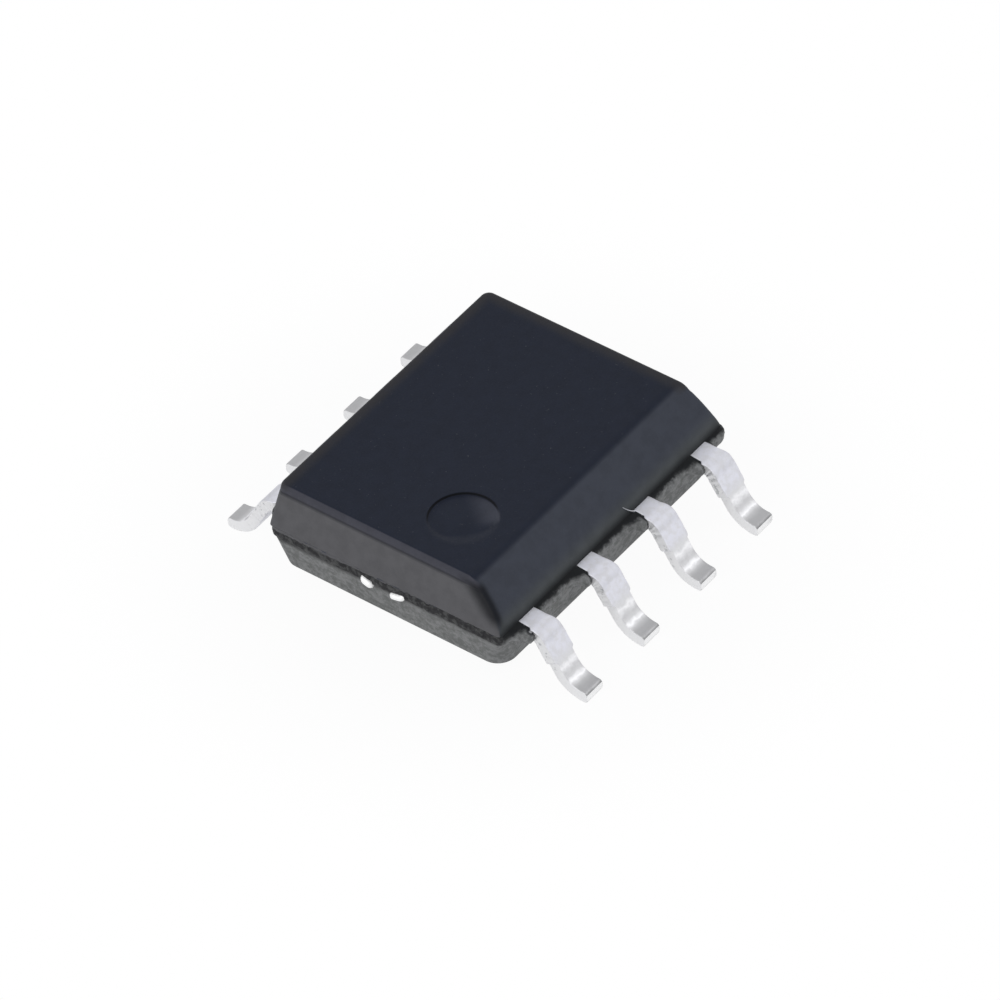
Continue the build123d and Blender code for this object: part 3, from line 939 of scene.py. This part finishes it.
def painted_shade_lines(g, position, facing):
    """Painted shade in dark lines: under the end faces' top edge, down the bevel's ends and round
    the dimple's far wall.
    """
    height = position["Z"]
    lengthwise = g.maths("ABSOLUTE", facing["X"])
    from_line = g.maths("ABSOLUTE", g.maths("SUBTRACT", height, BODY_TOP - CREASE_BELOW_TOP))
    line = g.between(from_line, 1.3 * CREASE_HALF_WIDTH, 0.1 * CREASE_HALF_WIDTH, 0.0, 0.5)
    line = g.maths("MULTIPLY", line, g.between(lengthwise, 0.55, 0.85))
    end_plane = g.maths("MULTIPLY", g.maths("SUBTRACT", height, FRAME_TOP), -tan(END_DRAFT))
    end_plane = g.maths("ADD", end_plane, HALF_LENGTH)
    inside = g.maths("SUBTRACT", end_plane, g.maths("ABSOLUTE", position["X"]))
    bevel_line = g.maths("SUBTRACT", BEVEL_SET_IN + BODY_TOP, height)
    before_bevel = g.maths("ADD", position["Y"], bevel_line)
    inside = g.maths("MULTIPLY", inside, 1.6)
    corner = g.maths("MAXIMUM", g.maths("MULTIPLY", before_bevel, 0.45), inside)
    bevel_end = g.between(corner, 0.20, 0.04, 0.0, 0.92)
    bevel_end = g.maths("MULTIPLY", bevel_end, g.between(position["X"], 0.5, -0.5))
    above_rim = g.between(height, FRAME_TOP + 0.05, FRAME_TOP + 0.25)
    bevel_end = g.maths("MULTIPLY", bevel_end, above_rim)
    bevel_end = g.maths("MULTIPLY", bevel_end, g.between(height, BODY_TOP, BODY_TOP - 0.12))
    x, y, radius = from_dimple(g, position)
    steep = g.between(facing["Z"], 0.85, 0.6)
    wall = g.maths("MULTIPLY", steep, g.between(radius, DIMPLE_RADIUS + 0.03, DIMPLE_RADIUS + 0.01))
    wall = g.maths("MULTIPLY", wall, g.between(towards(g, x, y, DIMPLE_FAR_SIDE), -0.2, 0.2))
    return g.maths("MAXIMUM", g.maths("MAXIMUM", line, bevel_end), wall)


def tin_plate():
    """Matt tin over copper, smoother where the forming tool burnished it from the foot of the slope
    out, with two painted highlight bands across the heel, and painted shade on the foot and across
    the shoulder.
    """
    g = Graph("tin_plate")
    place = g.place()
    position = g.add("SeparateXYZ", Vector=place).outputs
    facing = g.add("SeparateXYZ", Vector=g.add("NewGeometry").outputs["True Normal"]).outputs
    fine = g.noise(place, 55.0, 4.0, 0.65)
    patch = g.noise(place, 11.0, 4.0, 0.6)
    wander = g.between(g.noise(place, 9.0, 2.0), 0.3, 0.7, -0.012, 0.012)
    reach = g.maths("ADD", g.maths("ABSOLUTE", position["Y"]), wander)
    burnish_and_painted_light = g.between(reach, 2.50, 2.60)
    heel_light = g.add("ValToRGB")
    stops = heel_light.color_ramp.elements
    for n, (at, grey) in enumerate(HEEL_PAINTED_LIGHT):
        stop = stops[n] if n < 2 else stops.new(at)
        stop.position = at
        stop.color = (grey, grey, 1.02 * grey, 1)
    along = g.between(reach, HEEL_LIGHT_FROM, HEEL_LIGHT_TO, way="LINEAR")
    g.feed(heel_light.inputs["Fac"], along)
    matt = g.mix(g.between(patch, 0.35, 0.65), TIN_GREY, TIN_BLUE)
    # Painted shade across the shoulder's bend
    shoulder_shade = g.maths("MULTIPLY", g.between(reach, 2.19, 2.30), g.between(reach, 2.44, 2.38))
    matt = g.mix(g.maths("MULTIPLY", shoulder_shade, 0.14), matt, BLACK)
    # Painted light from the slope out: two highlight bands across the heel and a darker foot
    colour = g.mix(burnish_and_painted_light, matt, heel_light.outputs["Color"])
    colour = g.mix(g.between(patch, 0.3, 0.6, 0.06, 0.0), colour, TIN_STAIN)
    sheared = g.between(g.maths("ABSOLUTE", facing["X"]), 0.6, 0.9)
    torn = g.between(reach, 2.75, 2.45, 0.0, 1.0)
    broken = g.mix(g.between(patch, 0.34, 0.44), TORN_DARK, TORN_PALE)
    cut = g.mix(torn, SHEARED_COLOUR, broken)
    colour = g.mix(sheared, colour, cut)
    toe = g.between(g.maths("ABSOLUTE", facing["Y"]), 0.97, 0.995)
    toe = g.maths("MULTIPLY", toe, g.between(reach, LEAD_REACH - 0.06, LEAD_REACH - 0.03))
    colour = g.mix(toe, colour, TOE_COLOUR)
    burnished = g.between(burnish_and_painted_light, 0, 1, 0.5, 0.36)
    roughness = g.maths("ADD", burnished, g.between(fine, 0.3, 0.7, -0.02, 0.05))
    relief = g.bump(patch, 0.1, 0.01)
    relief = g.bump(fine, g.between(burnish_and_painted_light, 0, 1, 0.12, 0.04), 0.003, relief)
    return g.surface(Base_Color=colour, Metallic=0.7, Roughness=roughness, Normal=relief)


def cut_metal():
    """Freshly sheared ends of the tie bars, bright against the resin."""
    g = Graph("cut_metal")
    place = g.place()
    streak = g.noise(place, 24.0, 3.0)
    return g.surface(
        Base_Color=g.mix(streak, CUT_METAL_GREY, CUT_METAL_PALE),
        Metallic=0.9,
        Roughness=g.between(streak, 0.3, 0.7, 0.5, 0.6),
        Normal=g.bump(g.noise(place, 60.0), 0.1, 0.003),
    )


def plain_finish(name, colour, metallic, roughness, scale):
    """Finish of a piece that is sealed in the resin: a base colour with a fine cloudy grain."""
    g = Graph(name)
    place = g.place()
    cloud = g.noise(place, scale, 3.0)
    darker = tuple(0.75 * c for c in colour[:3]) + (1,)
    return g.surface(
        Base_Color=g.mix(cloud, darker, colour),
        Metallic=metallic,
        Roughness=g.between(cloud, 0.3, 0.7, roughness, roughness + 0.15),
        Normal=g.bump(g.noise(place, 4 * scale), 0.2, 0.003),
    )


def dress_node(name, material):
    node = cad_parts[name]
    node.data.materials.clear()
    node.data.materials.append(material)


def place_camera():
    turn, rise, roll = radians(AZIMUTH), radians(ELEVATION), radians(ROLL)
    back = Vector((sin(turn) * cos(rise), -cos(turn) * cos(rise), sin(rise)))
    level = Vector((cos(turn), sin(turn), 0))
    upright = back.cross(level)
    right = cos(roll) * level + sin(roll) * upright
    up = cos(roll) * upright - sin(roll) * level
    data = bpy.data.cameras.new("camera")
    data.lens = LENS
    data.sensor_width = SENSOR
    data.clip_start = 0.001
    data.clip_end = 10.0
    camera = bpy.data.objects.new("camera", data)
    bpy.context.scene.collection.objects.link(camera)
    turned = Matrix((right, up, back)).transposed().to_4x4()
    place = (Vector(CAMERA_TARGET) + CAMERA_DISTANCE * back) * MM
    camera.matrix_world = Matrix.Translation(place) @ turned
    bpy.context.scene.camera = camera


def soft_box(name, azimuth, elevation, distance, size, brightness):
    """Area light that faces the object. The direction is measured as for the camera."""
    turn, rise = radians(azimuth), radians(elevation)
    back = Vector((sin(turn) * cos(rise), -cos(turn) * cos(rise), sin(rise)))
    data = bpy.data.lights.new(name, "AREA")
    data.shape = "RECTANGLE"
    data.size, data.size_y = size[0] * MM, size[1] * MM
    data.energy = brightness * pi * data.size * data.size_y
    light = bpy.data.objects.new(name, data)
    bpy.context.scene.collection.objects.link(light)
    light.visible_camera = False
    light.location = back * distance * MM
    light.rotation_euler = (-back).to_track_quat("-Z", "Y").to_euler()


def shown_as_backdrop(tree):
    """1 for a ray that shows the background: from the camera, off metal or through glass."""
    light_path = tree.nodes.new("ShaderNodeLightPath")
    share = light_path.outputs["Is Camera Ray"]
    for kind in ("Is Glossy Ray", "Is Transmission Ray"):
        either = tree.nodes.new("ShaderNodeMath")
        either.operation = "MAXIMUM"
        tree.links.new(share, either.inputs[0])
        tree.links.new(light_path.outputs[kind], either.inputs[1])
        share = either.outputs[0]
    return share


def white_studio():
    """Soft light from all round, and a white backdrop for the rays that show it."""
    world = bpy.data.worlds.new("studio")
    bpy.context.scene.world = world
    world.use_nodes = True
    tree = world.node_tree
    tree.nodes.clear()
    shown = shown_as_backdrop(tree)
    output = tree.nodes.new("ShaderNodeOutputWorld")
    mixed = tree.nodes.new("ShaderNodeMixShader")
    room = tree.nodes.new("ShaderNodeBackground")
    backdrop = tree.nodes.new("ShaderNodeBackground")
    coordinates = tree.nodes.new("ShaderNodeTexCoord")
    split = tree.nodes.new("ShaderNodeSeparateXYZ")
    ramp = tree.nodes.new("ShaderNodeValToRGB")
    ramp.color_ramp.elements[0].position = 0.0
    ramp.color_ramp.elements[0].color = ROOM_HORIZON
    ramp.color_ramp.elements[1].position = 1.0
    ramp.color_ramp.elements[1].color = ROOM_OVERHEAD
    middle = ramp.color_ramp.elements.new(ROOM_RAISED_AT)
    middle.color = ROOM_RAISED
    room.inputs["Strength"].default_value = ROOM_STRENGTH
    backdrop.inputs["Color"].default_value = (1, 1, 1, 1)
    backdrop.inputs["Strength"].default_value = 1.0
    link = tree.links.new
    link(coordinates.outputs["Generated"], split.inputs[0])
    link(split.outputs["Z"], ramp.inputs["Fac"])
    link(ramp.outputs["Color"], room.inputs["Color"])
    link(shown, mixed.inputs["Fac"])
    link(room.outputs[0], mixed.inputs[1])
    link(backdrop.outputs[0], mixed.inputs[2])
    link(mixed.outputs[0], output.inputs["Surface"])


def white_floor():
    """Pale floor that keeps the object's shadow and fades to plain white further out."""
    g = Graph("floor_white")
    place = g.place()
    grain = g.noise(place, 0.05, 2.0)
    paint = g.mix(grain, FLOOR_GREY, FLOOR_PALE)
    away = g.add("VectorMath", {"operation": "LENGTH"}, Vector=place).outputs["Value"]
    fade = g.between(away, BACKDROP_NEAR, BACKDROP_FAR, BACKDROP_SHARE, 1.0)
    share = g.maths("MULTIPLY", shown_as_backdrop(g.tree), fade)
    lit = g.add("BsdfDiffuse", Color=paint)
    white = g.add("Emission", Color=(1, 1, 1, 1), Strength=1.0)
    both = g.add("MixShader", i0=share, i1=lit.outputs[0], i2=white.outputs[0])
    g.tree.links.new(both.outputs[0], g.add("OutputMaterial").inputs["Surface"])
    bpy.ops.mesh.primitive_plane_add(size=FLOOR_SIZE * MM, location=(0, 0, -FLOOR_BELOW * MM))
    floor = bpy.context.active_object
    floor.name = "floor"
    floor.data.materials.append(g.material)


def build_looks():
    epoxy, tin = moulding_compound(), tin_plate()
    moulded_body(epoxy)
    for pin, x, side in lead_places():
        make_lead(pin, x, side, tin)
    gold = plain_finish("gold_wire", GOLD_COLOUR, metallic=1.0, roughness=0.25, scale=60.0)
    for pin, _, _ in lead_places():
        dress_node(f"bond_wire_{pin}", gold)
    silicon = plain_finish("silicon", SILICON_COLOUR, metallic=0.6, roughness=0.2, scale=8.0)
    dress_node("silicon_die", silicon)
    paste = plain_finish("silver_paste", PASTE_COLOUR, metallic=0.5, roughness=0.5, scale=30.0)
    dress_node("die_attach", paste)
    make_die_pad(cut_metal())


build_looks()
white_floor()
white_studio()
soft_box("left box", azimuth=-95, elevation=35, distance=120, size=(90, 70), brightness=1.8)
soft_box("right box", azimuth=35, elevation=40, distance=120, size=(100, 80), brightness=0.55)
place_camera()
bpy.context.scene.view_settings.view_transform = "Standard"
